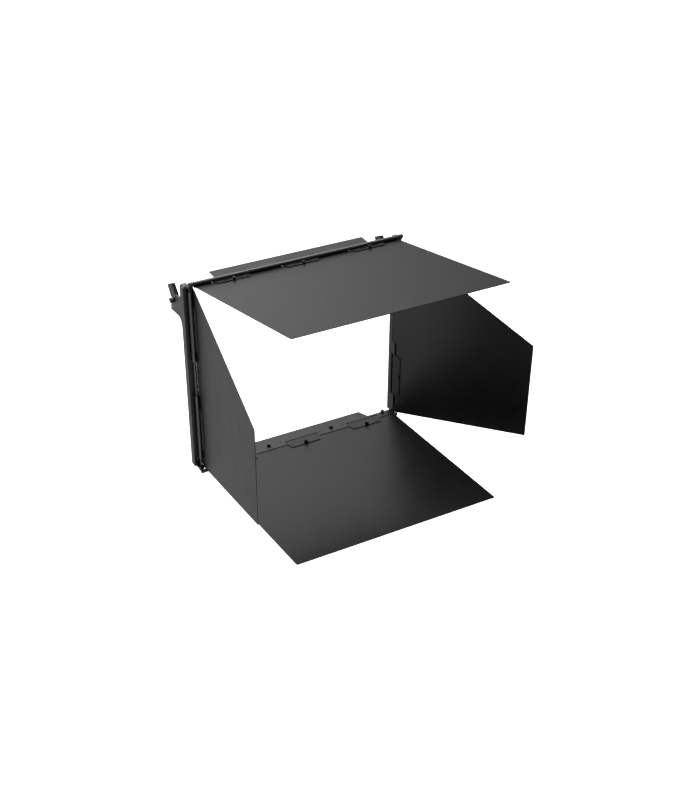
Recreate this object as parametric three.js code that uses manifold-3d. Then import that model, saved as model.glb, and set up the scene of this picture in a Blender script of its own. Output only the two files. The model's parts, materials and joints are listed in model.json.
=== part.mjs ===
// A set of four barn doors on a slide-on frame, for a square LED panel light.
// Millimetres, +Z up. The light shines toward -Y, and the lamp sits behind the frame, toward +Y.
// The origin is the centre of the light aperture.
import * as THREE from 'three';
import { mergeVertices } from 'three/addons/utils/BufferGeometryUtils.js';
import Module from 'manifold-3d';

const wasm = await Module();
wasm.setup();

// ---- driving dimensions ----
const AXIS_Z = 161.2;            // top and bottom hinge axes, above and below the centre
const AXIS_X = 172.4;            // side hinge axes, left and right of the centre
const ROD_RADIUS = 1.5;
const BORE_RADIUS = 1.8;
const BARREL_RADIUS = 3.2;
const KNUCKLE_GAP = 0.4;         // between neighbouring knuckles on one rod
const CAP_START = 168.6;         // domed caps on the ends of the top and bottom rods
const CAP_END = 176.3;
const CAP_RADIUS = 3.4;
const CAP_CHAMFER = 0.4;
const CAP_DOME = 1.6;
const TALL_ROD_END = 157;
const GAP = 0.3;                 // between pieces fastened face to face
const OVERLAP = 0.5;             // of solids joined into one piece
const CLEAR = 1;                 // how far a cutting tool runs past the piece it cuts

// Layers of a hinge, as heights above its axis toward the middle of the aperture.
const TAB_LOW = 2;               // hinge plates, on the outside of flange and leaf
const TAB_HIGH = 3.2;
const FLANGE_LOW = 3.5;
const FLANGE_HIGH = 5;
const SHEET_LOW = 3.5;
const SHEET_HIGH = 4.3;
const CLAMP_LOW = 4.6;           // clamp plates, on the inside of the leaf
const CLAMP_HIGH = 5.5;

// Places along a leaf, as distances forward of its hinge axis.
const SHEET_START = 5.4;
const STUD_RADIUS = 3;
const OUTER_STUD_RADIUS = 2.2;   // the widest that clears the opposite leaf
const TAB_END = 14.6;
const SLOT_START = 9.2;          // short slots in the tabs of the wide leaves
const SLOT_END = 11.6;
const SLOT_LENGTH = 10;

// Places on the frame, as distances behind a hinge axis.
const FLANGE_FRONT = -3;         // beside the frame's own knuckles
const FLANGE_NOTCH = 5.9;        // cut back behind the leaf's knuckles
const SHALLOW_NOTCH = 4.9;       // behind a tongue that carries no clamp plate
const FRAME_TAB_BACK = 16;
const FRAME_STUD_AT = 7.6;
const FRAME_STUD_HEIGHT = 4;

// Rivets through hinge plates.
const RIVET_SPACING = 21;        // each side of a stud
const RIVET_RADIUS = 1.5;
const RIVET_HEIGHT = 0.5;
const RIVETS_BEHIND_STUD = 3;

// Side rails and the side plates that cover them.
const RAIL_INNER = 170.5;
const RAIL_OUTER = 179.1;
const RAIL_FRONT = 16.5;
const RAIL_BACK = 28.8;
const RAIL_TOP = 154.1;
const RAIL_BOTTOM = -161;
const RAIL_WALL = 1.5;
const POCKET_END = 145;          // above and below the centre
const SIDE_FLANGE_LOW = 3.45;    // above the side hinge axes
const SIDE_FLANGE_HIGH = 4.5;
const SIDE_FLANGE_FRONT = -3.4;
const SIDE_FLANGE_BACK = 22.5;   // from the centre plane
const SIDE_FLANGE_END = 154.1;
const BRACKET_THICKNESS = 0.8;   // where it lies on the front of the rail
const BRACKET_OUTER = 178.2;
const SIDE_PLATE_INNER = RAIL_OUTER + GAP;
const SIDE_PLATE_OUTER = SIDE_PLATE_INNER + 1.5;
const SIDE_PLATE_BOTTOM = -157;
const SIDE_PLATE_TOP = { left: 153, right: 142 };

// Corner lugs that hold the ends of the upright rods.
const LUG_LOW = 154.4;
const LUG_HIGH = 157.2;
const LUG_INNER = 168.8;
const LUG_OUTER = 178;
const LUG_FRONT = 6.5;
const LUG_CHAMFER = 4.5;
const LUG_CHAMFER_START = 175;
const HEEL_FRONT = 10;           // a heel under each bottom lug, behind the cap of the rod
const HEEL_LOW = 163.5;
const FLANGE_END = 168.3;
const STRIP_BACK = 15;           // rear edge of the flange's narrow ends
const STRIP_MARGIN = 0.5;        // by which the hinge plates stop short of that edge
const FLANGE_REAR = {            // rear outlines of the flanges, from right to left
  top: [[122.5, STRIP_BACK], [122.5, 39], [-130.5, 39], [-130.5, STRIP_BACK]],
  bottom: [[125.5, STRIP_BACK], [117.8, 32.4], [-130, 32.4], [-131, STRIP_BACK]],
};

// Latches, on a pivot that runs along X.
const PIVOT_Y = 56.5;
const PIVOT_Z = 116;
const PIVOT_RADIUS = 1.6;
const PIVOT_BORE_RADIUS = PIVOT_RADIUS + GAP;
const LEVER_INNER = 172.5;
const LEVER_OUTER = 178.2;
const LEVER_HUB_RADIUS = 6;
const LEVER_BOSS_RADIUS = 4;
const SHANK_END = LEVER_INNER - 3;
const NUT_RADIUS = 3.4;
const NUT_THICKNESS = 2;
const KNOB_RADIUS = 3.9;
const KNOB_LENGTH = 5.4;
const KNOB_GROOVES = 14;
const GROOVE_RADIUS = 0.4;
const GROOVE_START = 0.8;        // from the knob's inner face

const ROUND_SIDES = 20;
const SMALL_SIDES = 12;

// ---- the four hinges ----
// Each hinge has its own frame: X along the rod, +Y to the back, +Z into the aperture.
// The turn about Y places it on its side, and the flare is how far its leaf leans outward.
const WIDE_HINGE = {
  axis: AXIS_Z,
  clampStart: -3.6,
  clampEnd: 16.4,
  studAt: 13.8,
  innerStud: 5,
  outerStud: 3.3,
  slots: true,
  leaf: { reach: 304.8, rearHalf: 167.6, tipHalf: 162.5, straight: 0, tongues: [] },
  knuckles: { centres: [-111, 0, 111], half: 29, tipHalf: 25 },
};
const TALL_HINGE = {
  axis: AXIS_X,
  clampStart: 4.5,
  clampEnd: 14.4,
  studAt: 10.6,
  innerStud: 1.3,
  outerStud: 0.6,
  slots: false,
  leaf: {
    reach: 266.8,
    rearHalf: 153.8,
    tipHalf: 78.2,
    straight: 5.2,
    tongues: [
      { from: -122.5, to: -47.5, back: 2, notch: FLANGE_NOTCH },
      { from: -25.6, to: 32.6, back: 3.8, notch: SHALLOW_NOTCH },
      { from: 50.5, to: 125.5, back: 2, notch: FLANGE_NOTCH },
    ],
  },
  knuckles: { half: 37.5, tipHalf: 34 },
};
const HINGES = {
  left: { ...TALL_HINGE, turn: 90, axisY: 10.4, flare: 6.46 },
  right: { ...TALL_HINGE, turn: -90, axisY: 9.2, flare: 16.96 },
  top: { ...WIDE_HINGE, turn: 180, axisY: 6.2, flare: 11.97 },
  bottom: { ...WIDE_HINGE, turn: 0, axisY: 5, flare: -5.21 },
};
const WIDE_KNUCKLES_END = 167.5;
const WIDE_STUDS = [-152, -56, 56, 152];

// The brackets on each side rail, by height, with the middle of the leaf's knuckle in each.
const SIDE_BRACKETS = [
  { low: -140, high: -26, leafCentre: -85 },
  { low: 33, high: 148, leafCentre: 88 },
];

const LOOKS = {
  sheet: { color: 0x1c1c1d, roughness: 0.4, metalness: 0.1 },
  flange: { color: 0x18181a, roughness: 0.42, metalness: 0.2 },
  rail: { color: 0x3a3a3c, roughness: 0.4, metalness: 0.5 },
  hinge: { color: 0x2e2e31, roughness: 0.36, metalness: 0.6 },
  pin: { color: 0x48484b, roughness: 0.3, metalness: 0.8 },
  plastic: { color: 0x0f0f10, roughness: 0.55, metalness: 0 },
};

// ---- solids ----
function solid(geometry) {
  const bare = geometry.clone();
  bare.deleteAttribute('normal');
  bare.deleteAttribute('uv');
  const merged = mergeVertices(bare, 1e-4);
  return new wasm.Manifold(new wasm.Mesh({
    numProp: 3,
    vertProperties: new Float32Array(merged.attributes.position.array),
    triVerts: new Uint32Array(merged.index.array),
  }));
}

function join(bodies) {
  return bodies.reduce((whole, next) => whole.add(next));
}

function cut(body, tools) {
  return tools.reduce((rest, tool) => rest.subtract(tool), body);
}

function box(low, high) {
  const geometry = new THREE.BoxGeometry(...high.map((value, i) => value - low[i]));
  geometry.translate(...low.map((value, i) => (value + high[i]) / 2));
  return solid(geometry);
}

function barX(radius, from, to, y, z, sides = ROUND_SIDES) {
  const geometry = new THREE.CylinderGeometry(radius, radius, to - from, sides);
  geometry.rotateZ(Math.PI / 2);
  geometry.translate((from + to) / 2, y, z);
  return solid(geometry);
}

function barZ(radius, from, to, x, y, sides = ROUND_SIDES) {
  const geometry = new THREE.CylinderGeometry(radius, radius, to - from, sides);
  geometry.rotateX(Math.PI / 2);
  geometry.translate(x, y, (from + to) / 2);
  return solid(geometry);
}

function outlineOf(points) {
  return new THREE.Shape(points.map(([x, y]) => new THREE.Vector2(x, y)));
}

function plate(shape, low, high) {
  const options = { depth: high - low, bevelEnabled: false, curveSegments: 6 };
  const geometry = new THREE.ExtrudeGeometry(shape, options);
  geometry.translate(0, 0, low);
  return solid(geometry);
}

// A plate whose outline is drawn in Y and Z, standing from one X to another.
function uprightPlate(shape, low, high) {
  return plate(shape, low, high).rotate([90, 0, 90]);
}

// Pieces of the two sides are drawn on the right and mirrored for the left.
function onSide(body, side) {
  return side === 'left' ? body.mirror([1, 0, 0]) : body;
}

function addPiece(group, name, body, look) {
  const data = body.getMesh();
  const geometry = new THREE.BufferGeometry();
  geometry.setAttribute('position', new THREE.BufferAttribute(new Float32Array(data.vertProperties), 3));
  geometry.setIndex(new THREE.BufferAttribute(new Uint32Array(data.triVerts), 1));
  geometry.computeVertexNormals();
  const mesh = new THREE.Mesh(geometry, new THREE.MeshStandardMaterial(LOOKS[look]));
  mesh.name = name;
  group.add(mesh);
}

// ---- hinge pieces, in the hinge's own frame ----
// A pair of rivet heads, one each side of a stud.
function rivets(centre, y, from, to) {
  return [-1, 1].map((way) => barZ(RIVET_RADIUS, from, to, centre + way * RIVET_SPACING, y, SMALL_SIDES));
}

// A plate that narrows toward its free edge, from one distance forward of the axis to another.
function tabShape(centre, half, tipHalf, start, end) {
  const shoulder = Math.max(start, 0) + 2;
  return outlineOf([
    [centre - half, -start],
    [centre - half, -shoulder],
    [centre - tipHalf, -end],
    [centre + tipHalf, -end],
    [centre + half, -shoulder],
    [centre + half, -start],
  ]);
}

// The leaf's half of a hinge: a knuckle, and a plate on the outside of the sheet.
function leafKnuckle(hinge, centre) {
  const { half, tipHalf } = hinge.knuckles;
  const end = Math.min(TAB_END, hinge.clampEnd);
  const pieces = [
    barX(BARREL_RADIUS, centre - half, centre + half, 0, 0),
    plate(tabShape(centre, half, tipHalf, 0, end), TAB_LOW, TAB_HIGH),
    barZ(OUTER_STUD_RADIUS, TAB_LOW - hinge.outerStud, TAB_HIGH, centre, -hinge.studAt),
    ...rivets(centre, RIVETS_BEHIND_STUD - hinge.studAt, TAB_LOW - RIVET_HEIGHT, TAB_LOW + OVERLAP),
  ];
  const slots = [-1, 1].map((way) => {
    const middle = centre + way * (RIVET_SPACING / 2);
    const from = [middle - SLOT_LENGTH / 2, -SLOT_END, TAB_LOW - CLEAR];
    return box(from, [middle + SLOT_LENGTH / 2, -SLOT_START, TAB_HIGH + CLEAR]);
  });
  const bore = barX(BORE_RADIUS, centre - half - CLEAR, centre + half + CLEAR, 0, 0);
  return cut(join(pieces), hinge.slots ? [bore, ...slots] : [bore]);
}

// The clamp plate on the inside of the sheet, with the hinge's stud standing on it.
function clampPlate(hinge, centre) {
  const { half, tipHalf } = hinge.knuckles;
  return join([
    plate(tabShape(centre, half, tipHalf, hinge.clampStart, hinge.clampEnd), CLAMP_LOW, CLAMP_HIGH),
    barZ(STUD_RADIUS, CLAMP_HIGH - OVERLAP, CLAMP_HIGH + hinge.innerStud, centre, -hinge.studAt),
    ...rivets(centre, RIVETS_BEHIND_STUD - hinge.studAt, CLAMP_HIGH - OVERLAP, CLAMP_HIGH + RIVET_HEIGHT),
  ]);
}

// The sheet of a leaf, narrower at its free edge, where its corners are rounded.
// Tongues on its rear edge reach back past the rod between the frame's knuckles.
function leafSheet({ reach, rearHalf, tipHalf, straight, tongues }) {
  const corner = 3;
  const shoulder = SHEET_START + straight + 0.1;
  const shape = new THREE.Shape();
  shape.moveTo(-rearHalf, -SHEET_START);
  shape.lineTo(-rearHalf, -shoulder);
  shape.lineTo(-tipHalf, -reach + corner);
  shape.quadraticCurveTo(-tipHalf, -reach, -tipHalf + corner, -reach);
  shape.lineTo(tipHalf - corner, -reach);
  shape.quadraticCurveTo(tipHalf, -reach, tipHalf, -reach + corner);
  shape.lineTo(rearHalf, -shoulder);
  shape.lineTo(rearHalf, -SHEET_START);
  for (const { from, to, back } of [...tongues].reverse()) {
    shape.lineTo(to, -SHEET_START);
    shape.lineTo(to, back);
    shape.lineTo(from, back);
    shape.lineTo(from, -SHEET_START);
  }
  shape.closePath();
  return plate(shape, SHEET_LOW, SHEET_HIGH);
}

// The spans of a top or bottom hinge that belong to the frame.
function frameSpans() {
  const { centres, half } = WIDE_HINGE.knuckles;
  const edge = half + KNUCKLE_GAP;
  const edges = [-WIDE_KNUCKLES_END, ...centres.flatMap((x) => [x - edge, x + edge]), WIDE_KNUCKLES_END];
  return WIDE_STUDS.map((stud, i) => ({ from: edges[2 * i], to: edges[2 * i + 1], stud }));
}

// The frame's half of a top or bottom hinge: a knuckle, and a plate on the outside of the flange.
function frameKnuckle(hinge, { from, to, stud }) {
  const atEnd = Math.max(Math.abs(from), Math.abs(to)) === WIDE_KNUCKLES_END;
  const back = atEnd ? STRIP_BACK - hinge.axisY - STRIP_MARGIN : FRAME_TAB_BACK;
  const pieces = [
    barX(BARREL_RADIUS, from, to, 0, 0),
    box([from, 0, TAB_LOW], [to, back, TAB_HIGH]),
    barZ(RIVET_RADIUS, TAB_LOW - RIVET_HEIGHT, TAB_LOW + OVERLAP, stud, FRAME_STUD_AT, SMALL_SIDES),
  ];
  return cut(join(pieces), [barX(BORE_RADIUS, from - CLEAR, to + CLEAR, 0, 0)]);
}

// The frame's half of a side hinge: an angle on the front of the rail, with a knuckle at each end.
function sideBracket(hinge, { low, high, leafCentre }) {
  const legBack = RAIL_FRONT - GAP - hinge.axisY;
  const legFront = legBack - BRACKET_THICKNESS;
  const legOut = hinge.axis - BRACKET_OUTER;
  const edge = hinge.knuckles.half + KNUCKLE_GAP;
  const spans = [[low, leafCentre - edge], [leafCentre + edge, high]];
  const pieces = [
    box([low, legFront, legOut], [high, legBack, TAB_HIGH]),
    ...spans.map(([from, to]) => barX(BARREL_RADIUS, from, to, 0, 0)),
    ...spans.map(([from, to]) => box([from, 0, TAB_LOW], [to, legBack, TAB_HIGH])),
  ];
  return cut(join(pieces), [barX(BORE_RADIUS, low - CLEAR, high + CLEAR, 0, 0)]);
}

// The rods of the top and bottom hinges have a domed cap at each end. The upright ones are plain.
function wideRod() {
  const half = [
    [ROD_RADIUS, CAP_START],
    [CAP_RADIUS - CAP_CHAMFER, CAP_START],
    [CAP_RADIUS, CAP_START + CAP_CHAMFER],
    [CAP_RADIUS, CAP_END - CAP_DOME],
    [CAP_RADIUS * 0.8, CAP_END - CAP_DOME * 0.4],
    [CAP_RADIUS * 0.4, CAP_END - CAP_DOME * 0.1],
    [0, CAP_END],
  ];
  const other = half.map(([radius, along]) => [radius, -along]).reverse();
  const profile = [...other, ...half].map(([radius, along]) => new THREE.Vector2(radius, along));
  const geometry = new THREE.LatheGeometry(profile, ROUND_SIDES);
  geometry.rotateZ(-Math.PI / 2);
  return solid(geometry);
}

function tallRod() {
  return barX(ROD_RADIUS, -TALL_ROD_END, TALL_ROD_END, 0, 0);
}

function buildHinge(name, hinge) {
  const turn = THREE.MathUtils.degToRad(hinge.turn);
  const fixed = new THREE.Group();
  fixed.rotation.y = turn;
  fixed.position.set(-hinge.axis * Math.sin(turn), hinge.axisY, -hinge.axis * Math.cos(turn));
  const leaf = new THREE.Group();
  leaf.rotation.x = THREE.MathUtils.degToRad(hinge.flare);
  fixed.add(leaf);

  const tall = hinge.axis === AXIS_X;
  const up = name === 'left' ? -1 : 1;
  const centres = tall ? SIDE_BRACKETS.map(({ leafCentre }) => up * leafCentre) : hinge.knuckles.centres;
  addPiece(fixed, `rod_${name}`, tall ? tallRod() : wideRod(), 'pin');
  if (tall) {
    SIDE_BRACKETS.forEach((bracket, i) => {
      const body = sideBracket(hinge, bracket);
      addPiece(fixed, `side_bracket_${name}_${i + 1}`, up < 0 ? body.mirror([1, 0, 0]) : body, 'hinge');
    });
    const inner = sideFlange(hinge);
    addPiece(fixed, `flange_${name}`, up < 0 ? inner.mirror([1, 0, 0]) : inner, 'flange');
  } else {
    frameSpans().forEach((span, i) => {
      addPiece(fixed, `frame_knuckle_${name}_${i + 1}`, frameKnuckle(hinge, span), 'hinge');
    });
  }
  const sheet = leafSheet(hinge.leaf);
  addPiece(leaf, `leaf_${name}`, up < 0 ? sheet.mirror([1, 0, 0]) : sheet, 'sheet');
  centres.forEach((centre, i) => {
    addPiece(leaf, `leaf_knuckle_${name}_${i + 1}`, leafKnuckle(hinge, centre), 'hinge');
    addPiece(leaf, `clamp_plate_${name}_${i + 1}`, clampPlate(hinge, centre), 'flange');
  });
  return fixed;
}

// ---- the frame ----
// A flange over the lamp's edge. Its front is notched behind each of the leaf's knuckles.
function flange(name) {
  const { axisY } = HINGES[name];
  const front = [];
  for (const { from, to } of frameSpans()) {
    const left = from === -WIDE_KNUCKLES_END ? -FLANGE_END : from - 0.1;
    const right = to === WIDE_KNUCKLES_END ? FLANGE_END : to + 0.1;
    front.push([left, axisY + FLANGE_NOTCH], [left, axisY + FLANGE_FRONT]);
    front.push([right, axisY + FLANGE_FRONT], [right, axisY + FLANGE_NOTCH]);
  }
  const ends = [[FLANGE_END, STRIP_BACK], ...FLANGE_REAR[name], [-FLANGE_END, STRIP_BACK]];
  const outline = [...front.slice(1, -1), ...ends];
  const low = AXIS_Z - FLANGE_HIGH;
  const high = AXIS_Z - FLANGE_LOW;
  const studs = WIDE_STUDS.map((x) => barZ(
    STUD_RADIUS, low - FRAME_STUD_HEIGHT, low + OVERLAP, x, axisY + FRAME_STUD_AT,
  ));
  const middleStuds = WIDE_STUDS.slice(1, -1);
  const heads = middleStuds.flatMap((x) => rivets(
    x, axisY + FRAME_STUD_AT, low - RIVET_HEIGHT, low + OVERLAP,
  ));
  const body = join([plate(outlineOf(outline), low, high), ...studs, ...heads]);
  return name === 'bottom' ? body.mirror([0, 0, 1]) : body;
}

// A narrow inner flange beside each rail, notched like the others. It closes the gap behind the leaf.
function sideFlange(hinge) {
  const back = SIDE_FLANGE_BACK - hinge.axisY;
  const sheet = box(
    [-SIDE_FLANGE_END, SIDE_FLANGE_FRONT, SIDE_FLANGE_LOW], [SIDE_FLANGE_END, back, SIDE_FLANGE_HIGH],
  );
  const notches = hinge.leaf.tongues.map(({ from, to, notch }) => box(
    [from - KNUCKLE_GAP, SIDE_FLANGE_FRONT - CLEAR, SIDE_FLANGE_LOW - CLEAR],
    [to + KNUCKLE_GAP, notch, SIDE_FLANGE_HIGH + CLEAR],
  ));
  return cut(sheet, notches);
}

// A rail with its lower outer corner cut off and a long pocket in its back.
function sideRail(side) {
  const corner = 4.5;
  const outline = outlineOf([
    [RAIL_INNER, RAIL_BOTTOM], [RAIL_OUTER - corner, RAIL_BOTTOM], [RAIL_OUTER, RAIL_BOTTOM + corner],
    [RAIL_OUTER, RAIL_TOP], [RAIL_INNER, RAIL_TOP],
  ]);
  const bar = plate(outline, -RAIL_BACK, -RAIL_FRONT).rotate([90, 0, 0]);
  const pocket = box(
    [RAIL_INNER + RAIL_WALL, RAIL_FRONT + RAIL_WALL, -POCKET_END],
    [RAIL_OUTER - RAIL_WALL, RAIL_BACK + CLEAR, POCKET_END],
  );
  return onSide(cut(bar, [pocket]), side);
}

// A plate on the outside of the rail, with an ear behind it that carries the latch.
function sidePlate(side) {
  const top = SIDE_PLATE_TOP[side];
  const shape = new THREE.Shape();
  shape.moveTo(RAIL_FRONT, SIDE_PLATE_BOTTOM);
  shape.lineTo(RAIL_BACK, SIDE_PLATE_BOTTOM);
  shape.lineTo(RAIL_BACK, 82);
  shape.quadraticCurveTo(RAIL_BACK + 1, 97, 42, 97);
  shape.lineTo(70, 94.5);
  shape.lineTo(68, 105.5);
  shape.lineTo(58, 120);
  shape.lineTo(46, 129);
  shape.lineTo(34, 130);
  shape.lineTo(RAIL_BACK + 2, 127);
  shape.lineTo(RAIL_BACK, 127);
  shape.lineTo(RAIL_BACK, top);
  shape.lineTo(RAIL_FRONT, top);
  shape.closePath();
  const body = uprightPlate(shape, SIDE_PLATE_INNER, SIDE_PLATE_OUTER);
  const holes = [[PIVOT_Y, PIVOT_Z, PIVOT_BORE_RADIUS], [64, 101, 2.5]].map(([y, z, radius]) => barX(
    radius, SIDE_PLATE_INNER - CLEAR, SIDE_PLATE_OUTER + CLEAR, y, z,
  ));
  return onSide(cut(body, holes), side);
}

function cornerLug(side, end) {
  const { axisY } = HINGES[side];
  const back = RAIL_FRONT - GAP;
  const outline = outlineOf([
    [LUG_INNER, LUG_FRONT], [LUG_CHAMFER_START, LUG_FRONT], [LUG_OUTER, LUG_FRONT + LUG_CHAMFER],
    [LUG_OUTER, back], [LUG_INNER, back],
  ]);
  const bore = barZ(BORE_RADIUS, LUG_LOW - CLEAR, LUG_HIGH + CLEAR, AXIS_X, axisY);
  const block = plate(outline, LUG_LOW, LUG_HIGH);
  const heel = box([LUG_INNER, HEEL_FRONT, LUG_HIGH - OVERLAP], [LUG_CHAMFER_START, back, HEEL_LOW]);
  const body = onSide(cut(end === 'bottom' ? join([block, heel]) : block, [bore]), side);
  return end === 'bottom' ? body.mirror([0, 0, 1]) : body;
}

// ---- the latches ----
function latchLever(side) {
  const shape = outlineOf([[68.6, 136.2], [55.5, 123.5], [56.5, 112], [74.8, 112.9], [85.8, 127.6]]);
  const body = join([
    uprightPlate(shape, LEVER_INNER, LEVER_OUTER),
    barX(LEVER_HUB_RADIUS, LEVER_INNER, LEVER_OUTER, PIVOT_Y, PIVOT_Z, 28),
    barX(LEVER_BOSS_RADIUS, LEVER_OUTER - OVERLAP, SIDE_PLATE_INNER - GAP, PIVOT_Y, PIVOT_Z),
  ]);
  const bore = barX(PIVOT_BORE_RADIUS, LEVER_INNER - CLEAR, SIDE_PLATE_INNER, PIVOT_Y, PIVOT_Z);
  return onSide(cut(body, [bore]), side);
}

function thumbScrew(side) {
  const inner = SIDE_PLATE_OUTER + GAP;
  const knob = barX(KNOB_RADIUS, inner, inner + KNOB_LENGTH, PIVOT_Y, PIVOT_Z, KNOB_GROOVES * 2);
  const grooves = Array.from({ length: KNOB_GROOVES }, (_, i) => {
    const angle = (i / KNOB_GROOVES) * Math.PI * 2;
    const y = PIVOT_Y + Math.cos(angle) * KNOB_RADIUS;
    const z = PIVOT_Z + Math.sin(angle) * KNOB_RADIUS;
    return barX(GROOVE_RADIUS, inner + GROOVE_START, inner + KNOB_LENGTH + CLEAR, y, z, 6);
  });
  const shank = barX(PIVOT_RADIUS, SHANK_END, inner + OVERLAP, PIVOT_Y, PIVOT_Z);
  return onSide(join([cut(knob, grooves), shank]), side);
}

function latchNut(side) {
  const outer = LEVER_INNER - GAP;
  const inner = outer - NUT_THICKNESS;
  const nut = barX(NUT_RADIUS, inner, outer, PIVOT_Y, PIVOT_Z, 6);
  return onSide(cut(nut, [barX(PIVOT_BORE_RADIUS, inner - CLEAR, outer + CLEAR, PIVOT_Y, PIVOT_Z)]), side);
}

// ---- assembly ----
const barnDoors = new THREE.Group();
for (const [name, hinge] of Object.entries(HINGES)) {
  barnDoors.add(buildHinge(name, hinge));
}
for (const name of ['top', 'bottom']) {
  addPiece(barnDoors, `flange_${name}`, flange(name), 'flange');
}
for (const side of ['left', 'right']) {
  addPiece(barnDoors, `side_rail_${side}`, sideRail(side), 'rail');
  addPiece(barnDoors, `side_plate_${side}`, sidePlate(side), 'rail');
  for (const end of ['top', 'bottom']) {
    addPiece(barnDoors, `corner_lug_${end}_${side}`, cornerLug(side, end), 'hinge');
  }
  addPiece(barnDoors, `latch_lever_${side}`, latchLever(side), 'plastic');
  addPiece(barnDoors, `latch_nut_${side}`, latchNut(side), 'pin');
  addPiece(barnDoors, `thumb_screw_${side}`, thumbScrew(side), 'plastic');
}

export default barnDoors;
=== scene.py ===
"""The looks of the barn-door set: satin black sheet metal in a white studio."""

import json
from math import cos, radians, sin

import bmesh
import bpy
from mathutils import Matrix, Vector


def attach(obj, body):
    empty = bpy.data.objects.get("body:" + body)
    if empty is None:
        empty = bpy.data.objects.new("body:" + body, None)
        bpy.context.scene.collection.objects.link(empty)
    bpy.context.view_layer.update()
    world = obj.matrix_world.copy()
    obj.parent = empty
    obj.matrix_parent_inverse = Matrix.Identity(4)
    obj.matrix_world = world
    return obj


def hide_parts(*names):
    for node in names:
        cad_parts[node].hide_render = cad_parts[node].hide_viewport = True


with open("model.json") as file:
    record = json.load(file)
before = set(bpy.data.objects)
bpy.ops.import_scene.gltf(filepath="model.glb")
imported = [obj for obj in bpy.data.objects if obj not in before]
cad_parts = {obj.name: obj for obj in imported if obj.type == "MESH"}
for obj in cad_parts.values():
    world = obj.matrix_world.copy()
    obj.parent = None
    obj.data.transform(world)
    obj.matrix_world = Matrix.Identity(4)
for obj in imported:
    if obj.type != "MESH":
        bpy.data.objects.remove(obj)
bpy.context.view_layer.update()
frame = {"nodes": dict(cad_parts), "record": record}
record = frame["record"]
MM = 0.001

# ---- materials ----
# One row for each of the record's slots. The tones are linear, grain is a noise scale, and bump a strength.
FINISHES = {
    "sheet": dict(dark=0.0012, light=0.0022, rough=(0.34, 0.38), grain=900, bump=0.03, metal=0.0, ior=1.5),
    "flange": dict(dark=0.0012, light=0.0024, rough=(0.34, 0.40), grain=1100, bump=0.05, metal=0.0, ior=1.5),
    "rail": dict(dark=0.0014, light=0.0030, rough=(0.34, 0.44), grain=1200, bump=0.06, metal=0.0, ior=2.0),
    "hinge": dict(dark=0.0014, light=0.0040, rough=(0.28, 0.36), grain=1400, bump=0.04, metal=0.0, ior=1.6),
    "pin": dict(dark=0.030, light=0.070, rough=(0.22, 0.30), grain=1600, bump=0.03, metal=0.6, ior=1.5),
    "plastic": dict(dark=0.0015, light=0.0040, rough=(0.26, 0.34), grain=1800, bump=0.10, metal=0.0, ior=1.5),
}
BLUE_TINT = 1.03                    # the blue channel, against the other two
TONE_DRIFT = dict(scale=14, detail=5)
GLOSS_DRIFT = dict(scale=40, detail=6)
GRAIN_DETAIL = 2
GRAIN_DEPTH = 0.2 * MM
NOISE_LOW = 0.3                     # the part of a noise, up to NOISE_HIGH, that is stretched over a range
NOISE_HIGH = 0.7


def link(tree, source, target):
    tree.links.new(source, target)


def add_noise(tree, coords, scale, detail):
    noise = tree.nodes.new("ShaderNodeTexNoise")
    noise.inputs["Scale"].default_value = scale
    noise.inputs["Detail"].default_value = detail
    link(tree, coords.outputs["Object"], noise.inputs["Vector"])
    return noise


def add_range(tree, source, low, high):
    spread = tree.nodes.new("ShaderNodeMapRange")
    spread.inputs["From Min"].default_value = NOISE_LOW
    spread.inputs["From Max"].default_value = NOISE_HIGH
    spread.inputs["To Min"].default_value = low
    spread.inputs["To Max"].default_value = high
    link(tree, source, spread.inputs["Value"])
    return spread


def new_material(name):
    material = bpy.data.materials.new(name)
    material.use_nodes = True
    tree = material.node_tree
    return material, tree, tree.nodes["Principled BSDF"], tree.nodes.new("ShaderNodeTexCoord")


def make_finish(name, dark, light, rough, grain, bump, metal, ior):
    """A coated surface: a fine grain in the bump, and slow drifts in tone and gloss."""
    material, tree, shader, coords = new_material(name + "_finish")
    shader.inputs["Metallic"].default_value = metal
    shader.inputs["IOR"].default_value = ior

    drift = add_noise(tree, coords, **TONE_DRIFT)
    tone = tree.nodes.new("ShaderNodeValToRGB")
    stops = zip(tone.color_ramp.elements, (NOISE_LOW, NOISE_HIGH), (dark, light))
    for stop, position, level in stops:
        stop.position = position
        stop.color = (level, level, level * BLUE_TINT, 1)
    link(tree, drift.outputs["Fac"], tone.inputs["Fac"])
    link(tree, tone.outputs["Color"], shader.inputs["Base Color"])

    gloss = add_noise(tree, coords, **GLOSS_DRIFT)
    roughness = add_range(tree, gloss.outputs["Fac"], *rough)
    link(tree, roughness.outputs["Result"], shader.inputs["Roughness"])

    pores = add_noise(tree, coords, grain, GRAIN_DETAIL)
    relief = tree.nodes.new("ShaderNodeBump")
    relief.inputs["Strength"].default_value = bump
    relief.inputs["Distance"].default_value = GRAIN_DEPTH
    link(tree, pores.outputs["Fac"], relief.inputs["Height"])
    link(tree, relief.outputs["Normal"], shader.inputs["Normal"])
    return material


finishes = {name: make_finish(name, **values) for name, values in FINISHES.items()}
slot_of = {part["node"]: part["material_slot"] for part in record["subparts"]}
body_of = {node: body for body, nodes in record["behaviour"]["bodies"].items() for node in nodes}

# ---- softened copies of the machined pieces ----
EDGE_WIDTH = 0.15 * MM
EDGE_STEPS = 2
EDGE_PROFILE = 0.5                  # round
SHARP_ANGLE = radians(32)
FLAT_ANGLE = radians(1)
WELD = 0.002 * MM
FACE_WEIGHT = 100                   # how strongly large flat faces hold their shading


def add_object(name, data):
    thing = bpy.data.objects.new(name, data)
    bpy.context.scene.collection.objects.link(thing)
    return thing


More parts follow.
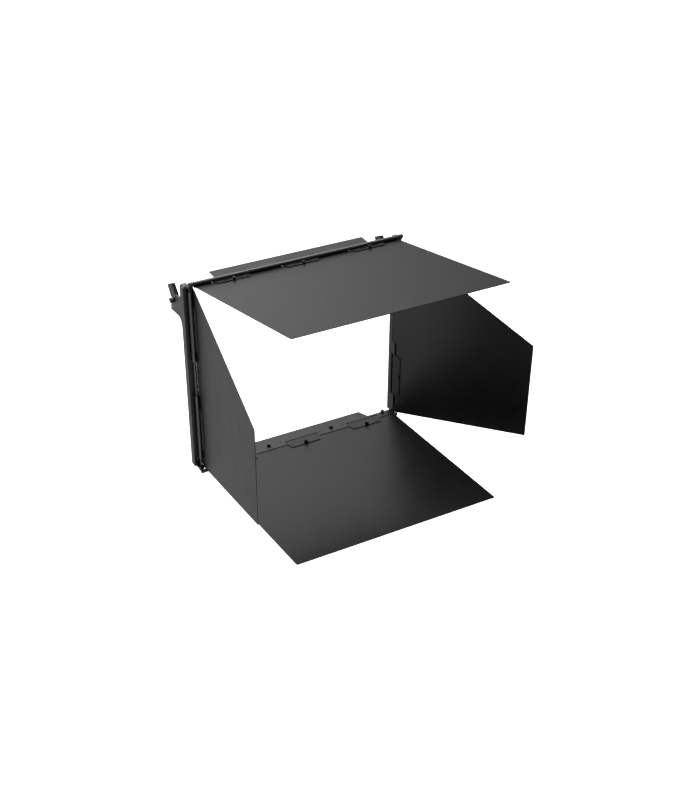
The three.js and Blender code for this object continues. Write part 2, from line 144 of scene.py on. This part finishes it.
def round_edges(mesh):
    cells = bmesh.new()
    cells.from_mesh(mesh)
    bmesh.ops.remove_doubles(cells, verts=cells.verts, dist=WELD)
    bmesh.ops.dissolve_limit(cells, angle_limit=FLAT_ANGLE, verts=cells.verts, edges=cells.edges)
    edges = [e for e in cells.edges if len(e.link_faces) == 2 and e.calc_face_angle() > SHARP_ANGLE]
    bmesh.ops.bevel(
        cells, geom=edges, affect="EDGES", clamp_overlap=True,
        offset=EDGE_WIDTH, segments=EDGE_STEPS, profile=EDGE_PROFILE,
    )
    for face in cells.faces:
        face.smooth = True
    for edge in cells.edges:
        edge.smooth = len(edge.link_faces) == 2 and edge.calc_face_angle() < SHARP_ANGLE
    cells.to_mesh(mesh)
    cells.free()


def soften(node):
    """Stands a copy with rounded edges in for a CAD piece."""
    mesh = frame["nodes"][node].data.copy()
    mesh.materials.clear()
    round_edges(mesh)
    mesh.materials.append(finishes[slot_of[node]])
    piece = add_object(node + "_soft", mesh)
    normals = piece.modifiers.new("flat_faces", "WEIGHTED_NORMAL")
    normals.keep_sharp = True
    normals.weight = FACE_WEIGHT
    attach(piece, body_of[node])
    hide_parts(node)


for node, cad in frame["nodes"].items():
    if slot_of[node] == "sheet":
        for slot in cad.material_slots:
            slot.link = "OBJECT"
            slot.material = finishes["sheet"]
    else:
        soften(node)


# ---- floor and softbox ----
FLOOR_HEIGHT = -0.55
FLOOR_REACH = 14
FLOOR_ROUGHNESS = 0.9
FLOOR_GLOW = 0.75
FLOOR_MOTTLE = dict(scale=6, detail=3)
FLOOR_TONES = (0.9, 0.92)

SOFTBOX_PLACE = (0.2, 1.3, 2.6)
SOFTBOX_AIM = (0.2, 1.3, 0)
SOFTBOX_SIDE = 3.2
SOFTBOX_WATTS = 140


def make_floor():
    material, tree, shader, coords = new_material("floor_paper")
    shader.inputs["Roughness"].default_value = FLOOR_ROUGHNESS
    shader.inputs["Emission Color"].default_value = (1, 1, 1, 1)
    shader.inputs["Emission Strength"].default_value = FLOOR_GLOW
    mottle = add_noise(tree, coords, **FLOOR_MOTTLE)
    tone = add_range(tree, mottle.outputs["Fac"], *FLOOR_TONES)
    link(tree, tone.outputs["Result"], shader.inputs["Base Color"])
    mesh = bpy.data.meshes.new("floor")
    ways = ((-1, -1), (1, -1), (1, 1), (-1, 1))
    corners = [(x * FLOOR_REACH, y * FLOOR_REACH, FLOOR_HEIGHT) for x, y in ways]
    mesh.from_pydata(corners, [], [(0, 1, 2, 3)])
    mesh.materials.append(material)
    floor = add_object("floor", mesh)
    floor.visible_glossy = False


def add_softbox():
    data = bpy.data.lights.new("overhead", "AREA")
    data.shape = "SQUARE"
    data.size = SOFTBOX_SIDE
    data.energy = SOFTBOX_WATTS
    light = add_object("overhead", data)
    light.location = SOFTBOX_PLACE
    ahead = Vector(SOFTBOX_AIM) - Vector(SOFTBOX_PLACE)
    light.rotation_euler = ahead.to_track_quat("-Z", "Y").to_euler()


# ---- the room ----
# It is brightest behind the object, a little to the left and above, and dark in front.
# A level is the cosine between a direction and the bright side, and the brightness there.
BRIGHT_SIDE = (-0.05, 0.95, 0.30)
ROOM_LEVELS = (
    (-1.0, 0.01), (0.10, 0.03), (0.30, 0.20), (0.60, 0.46), (0.80, 0.50), (0.88, 0.70), (0.94, 1.00),
)
FULL_LEVEL = 1.2                    # the strength of the background, which the glows are multiplied by

# To the right the room fades. Soft glows stand on the left, low in front, overhead and high in front.
RIGHT_SIDE = (1, 0, 0)
RIGHT_FADE = (0.32, 0.62)
RIGHT_LEVEL = 0.27
GLOWS = (
    dict(side=(-0.85, 0.45, -0.20), start=0.92, end=0.99, level=1.1),
    dict(side=(-0.65, -0.55, -0.52), start=0.72, end=0.92, level=1.3),
    dict(side=(0.35, 0.20, 0.90), start=0.86, end=0.97, level=0.8),
    dict(side=(0.00, -0.90, 0.40), start=0.72, end=0.95, level=0.5),
)


def add_cosine(tree, coords, side):
    """The cosine of the angle between a direction in the room and one side of it."""
    cosine = tree.nodes.new("ShaderNodeVectorMath")
    cosine.operation = "DOT_PRODUCT"
    cosine.inputs[1].default_value = Vector(side).normalized()
    link(tree, coords.outputs["Generated"], cosine.inputs[0])
    return cosine.outputs["Value"]


def add_falloff(tree, coords, side, start, end, level, outside=0.0):
    """Goes smoothly from one brightness to another between two cosines to a side."""
    fade = tree.nodes.new("ShaderNodeMapRange")
    fade.interpolation_type = "SMOOTHSTEP"
    for name, value in (("From Min", start), ("From Max", end), ("To Min", outside), ("To Max", level)):
        fade.inputs[name].default_value = value
    link(tree, add_cosine(tree, coords, side), fade.inputs["Value"])
    return fade.outputs["Result"]


def combine(tree, operation, first, second):
    both = tree.nodes.new("ShaderNodeVectorMath")
    both.operation = operation
    link(tree, first, both.inputs[0])
    link(tree, second, both.inputs[1])
    return both.outputs["Vector"]


def add_room_levels(tree, coords):
    """The room's brightness by direction. A ramp runs from 0 to 1, so the cosines are mapped onto that."""
    place = tree.nodes.new("ShaderNodeMapRange")
    place.inputs["From Min"].default_value = -1
    place.inputs["From Max"].default_value = 1
    link(tree, add_cosine(tree, coords, BRIGHT_SIDE), place.inputs["Value"])
    levels = tree.nodes.new("ShaderNodeValToRGB")
    stops = levels.color_ramp.elements
    for cosine, _ in ROOM_LEVELS[1:-1]:
        stops.new((cosine + 1) / 2)
    for stop, (cosine, bright) in zip(stops, ROOM_LEVELS):
        tone = bright / FULL_LEVEL
        stop.position = (cosine + 1) / 2
        stop.color = (tone, tone, tone, 1)
    link(tree, place.outputs["Result"], levels.inputs["Fac"])
    return levels.outputs["Color"]


def shade_room(tree):
    coords = tree.nodes.new("ShaderNodeTexCoord")
    dim = add_falloff(tree, coords, RIGHT_SIDE, *RIGHT_FADE, level=RIGHT_LEVEL, outside=1.0)
    total = combine(tree, "MULTIPLY", add_room_levels(tree, coords), dim)
    for glow in GLOWS:
        total = combine(tree, "ADD", total, add_falloff(tree, coords, **glow))
    # Seen directly, the room is a plain pale backdrop.
    seen = tree.nodes.new("ShaderNodeLightPath")
    total = combine(tree, "MAXIMUM", total, seen.outputs["Is Camera Ray"])
    background = tree.nodes["Background"]
    background.inputs["Strength"].default_value = FULL_LEVEL
    link(tree, total, background.inputs["Color"])


make_floor()
add_softbox()
scene = bpy.context.scene
scene.world = bpy.data.worlds.new("studio")
scene.world.use_nodes = True
shade_room(scene.world.node_tree)
scene.view_settings.view_transform = "Standard"
scene.view_settings.look = "None"

# ---- camera ----
# It stands in front, to the left and above. Yaw is to the right of straight ahead, and pitch is downward.
CAMERA_PLACE = (-0.74192, -1.48035, 0.97393)
PITCH = radians(32.468)
YAW = radians(29.150)
ROLL = radians(0.622)
LENS_MM = 56.33
SENSOR_MM = 36
NEAREST = 0.05


def add_camera():
    ahead = Vector((sin(YAW) * cos(PITCH), cos(YAW) * cos(PITCH), -sin(PITCH)))
    level = Vector((cos(YAW), -sin(YAW), 0))
    up = level.cross(ahead)
    right = level * cos(ROLL) + up * sin(ROLL)
    top = up * cos(ROLL) - level * sin(ROLL)
    lens = bpy.data.cameras.new("camera")
    lens.lens = LENS_MM
    lens.sensor_width = SENSOR_MM
    lens.clip_start = NEAREST
    camera = add_object("camera", lens)
    axes = Matrix((right, top, -ahead)).transposed()
    camera.matrix_world = Matrix.Translation(CAMERA_PLACE) @ axes.to_4x4()
    return camera


scene.camera = add_camera()
